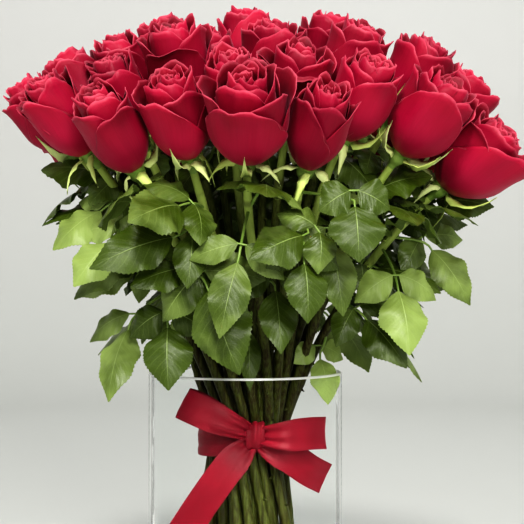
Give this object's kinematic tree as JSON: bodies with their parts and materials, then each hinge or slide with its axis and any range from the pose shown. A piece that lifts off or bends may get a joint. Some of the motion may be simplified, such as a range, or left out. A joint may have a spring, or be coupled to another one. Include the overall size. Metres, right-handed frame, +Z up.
{
  "type": "roses in a vase",
  "caption": "Tied bouquet of long-stemmed red roses with a satin ribbon, standing in water in a clear glass cylinder vase.",
  "frame": {"origin": "centre of the vase's flat bottom face", "axes": "+Z up along the vase's axis, -Y towards the front of the bouquet, where the ribbon is tied, +X to the right"},
  "size_m": [0.3731, 0.3931, 0.5257],
  "materials": {
    "petals": "satin",
    "green": "satin",
    "ribbon": "satin",
    "glass": "polished",
    "water": "polished"
  },
  "bodies": {
    "root": {"vase": "glass", "water": "water", "stems_and_leaves": "green", "ribbon": "ribbon", "bloom_01": "petals", "bloom_02": "petals", "bloom_03": "petals", "bloom_04": "petals", "bloom_05": "petals", "bloom_06": "petals", "bloom_07": "petals", "bloom_08": "petals", "bloom_09": "petals", "bloom_10": "petals", "bloom_11": "petals", "bloom_12": "petals", "bloom_13": "petals", "bloom_14": "petals", "bloom_15": "petals", "bloom_16": "petals", "bloom_17": "petals", "bloom_18": "petals", "bloom_19": "petals", "bloom_20": "petals", "bloom_21": "petals", "bloom_22": "petals", "bloom_23": "petals", "bloom_24": "petals", "bloom_25": "petals", "bloom_26": "petals", "bloom_27": "petals", "bloom_28": "petals", "bloom_29": "petals", "bloom_30": "petals", "bloom_31": "petals", "bloom_32": "petals", "bloom_33": "petals", "bloom_34": "petals", "bloom_35": "petals", "bloom_36": "petals", "bloom_37": "petals", "bloom_38": "petals", "bloom_39": "petals", "bloom_40": "petals", "bloom_41": "petals", "bloom_42": "petals"}
  },
  "joints": []
}
